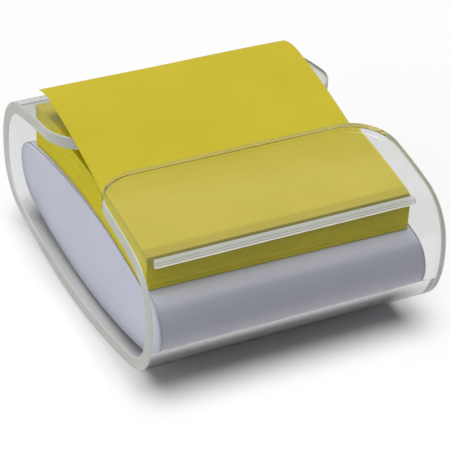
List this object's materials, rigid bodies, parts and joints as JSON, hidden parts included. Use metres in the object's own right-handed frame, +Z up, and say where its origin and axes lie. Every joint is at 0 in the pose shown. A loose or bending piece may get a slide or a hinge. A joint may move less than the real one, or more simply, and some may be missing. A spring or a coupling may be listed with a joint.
{
  "type": "sticky note dispenser",
  "caption": "Clear one-piece sleeve on small feet with a weighted base and arched deck; a pad of pop-up sticky notes inside feeds one note out through the full-width gap in its top.",
  "frame": {"origin": "on the table, under the middle of the sleeve", "axes": "X along the sleeve's open ends, +Y to the back, +Z up"},
  "size_m": [0.086, 0.102, 0.0498],
  "materials": {
    "clear_plastic": "polished clear acrylic",
    "base_plastic": "fine satin, pale cool grey",
    "steel": "plain rolled plate",
    "pad_paper": "uncoated paper, cut edges",
    "note_paper": "uncoated paper",
    "foot_rubber": "soft, translucent"
  },
  "bodies": {
    "root": {"clear_shell": "clear_plastic", "base_body": "base_plastic", "base_cover": "base_plastic", "steel_weight": "steel", "note_pad": "pad_paper", "popup_note": "note_paper", "foot_front_left": "foot_rubber", "foot_front_right": "foot_rubber", "foot_back_left": "foot_rubber", "foot_back_right": "foot_rubber"}
  },
  "joints": []
}
